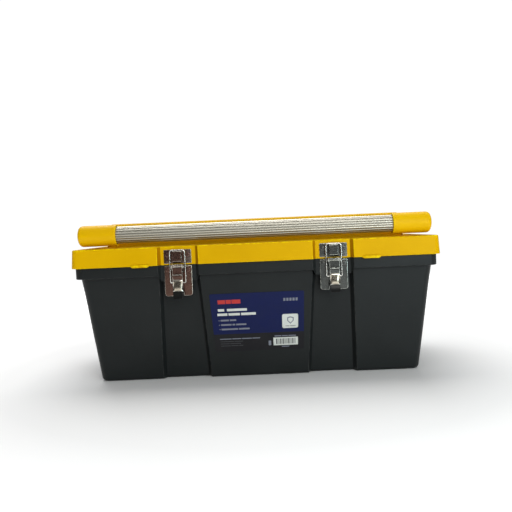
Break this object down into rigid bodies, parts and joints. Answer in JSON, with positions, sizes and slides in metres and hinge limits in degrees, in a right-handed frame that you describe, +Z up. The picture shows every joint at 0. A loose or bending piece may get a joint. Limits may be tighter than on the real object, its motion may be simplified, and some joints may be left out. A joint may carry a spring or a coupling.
{
  "type": "toolbox with tray",
  "caption": "Long plastic toolbox with hinged humped lid, fold-over metal grip handle, two draw latches and a lift-out tray.",
  "frame": {"origin": "on the floor under the middle of the closed toolbox's bounding box", "axes": "+X along the length (to the right when facing the latches), -Y towards the front with the latches, +Z up"},
  "size_m": [0.6, 0.305, 0.262],
  "materials": {
    "tub_plastic": "satin moulded charcoal",
    "lid_plastic": "satin moulded yellow",
    "tray_plastic": "satin moulded charcoal",
    "bar_aluminium": "fluted extrusion, satin",
    "latch_nickel": "nickel plated pressed steel",
    "pin_steel": "plain steel",
    "label_print": "printed sticker"
  },
  "bodies": {
    "tub": {"body_tub": "tub_plastic", "latch_base_left": "latch_nickel", "latch_base_right": "latch_nickel", "lever_pivot_pin_left": "pin_steel", "lever_pivot_pin_right": "pin_steel", "base_rivet_left_a": "pin_steel", "base_rivet_left_b": "pin_steel", "base_rivet_right_a": "pin_steel", "base_rivet_right_b": "pin_steel", "lid_hinge_pin_left": "pin_steel", "lid_hinge_pin_right": "pin_steel", "front_label": "label_print"},
    "lid": {"lid_shell": "lid_plastic", "latch_strike_left": "latch_nickel", "latch_strike_right": "latch_nickel", "strike_rivet_left_a": "pin_steel", "strike_rivet_left_b": "pin_steel", "strike_rivet_right_a": "pin_steel", "strike_rivet_right_b": "pin_steel", "handle_pivot_pin_left": "pin_steel", "handle_pivot_pin_right": "pin_steel"},
    "handle": {"handle_bar": "bar_aluminium", "handle_arm_left": "lid_plastic", "handle_arm_right": "lid_plastic"},
    "lever_left": {"latch_lever_left": "latch_nickel"},
    "lever_right": {"latch_lever_right": "latch_nickel"},
    "bail_left": {"latch_bail_left": "latch_nickel"},
    "bail_right": {"latch_bail_right": "latch_nickel"},
    "tray": {"tote_tray": "tray_plastic"}
  },
  "joints": [
    {"name": "lid_hinge", "type": "hinge", "parent": "tub", "child": "lid", "pos_m": [0, 0.1475, 0.19], "axis": [-1, 0, 0], "range_deg": [0, 100]},
    {"name": "handle_fold", "type": "hinge", "parent": "lid", "child": "handle", "pos_m": [0, -0.001, 0.243], "axis": [-1, 0, 0], "range_deg": [0, 180]},
    {"name": "latch_left_lever", "type": "hinge", "parent": "tub", "child": "lever_left", "pos_m": [-0.1265, -0.1425, 0.188], "axis": [-1, 0, 0], "range_deg": [0, 145]},
    {"name": "latch_left_bail", "type": "hinge", "parent": "lever_left", "child": "bail_left", "pos_m": [-0.1265, -0.1392, 0.162], "axis": [-1, 0, 0], "range_deg": [-145, 0]},
    {"name": "latch_right_lever", "type": "hinge", "parent": "tub", "child": "lever_right", "pos_m": [0.1265, -0.1425, 0.188], "axis": [-1, 0, 0], "range_deg": [0, 145]},
    {"name": "latch_right_bail", "type": "hinge", "parent": "lever_right", "child": "bail_right", "pos_m": [0.1265, -0.1392, 0.162], "axis": [-1, 0, 0], "range_deg": [-145, 0]},
    {"name": "tray_lift", "type": "slide", "parent": "tub", "child": "tray", "axis": [0, 0, 1], "range_m": [0, 0.1]}
  ],
  "couplings": [
    {"joint": "tray_lift", "follows": "lid_hinge", "m_per_rad": 0.0572},
    {"joint": "latch_left_bail", "follows": "latch_left_lever", "ratio": -1},
    {"joint": "latch_right_bail", "follows": "latch_right_lever", "ratio": -1}
  ]
}
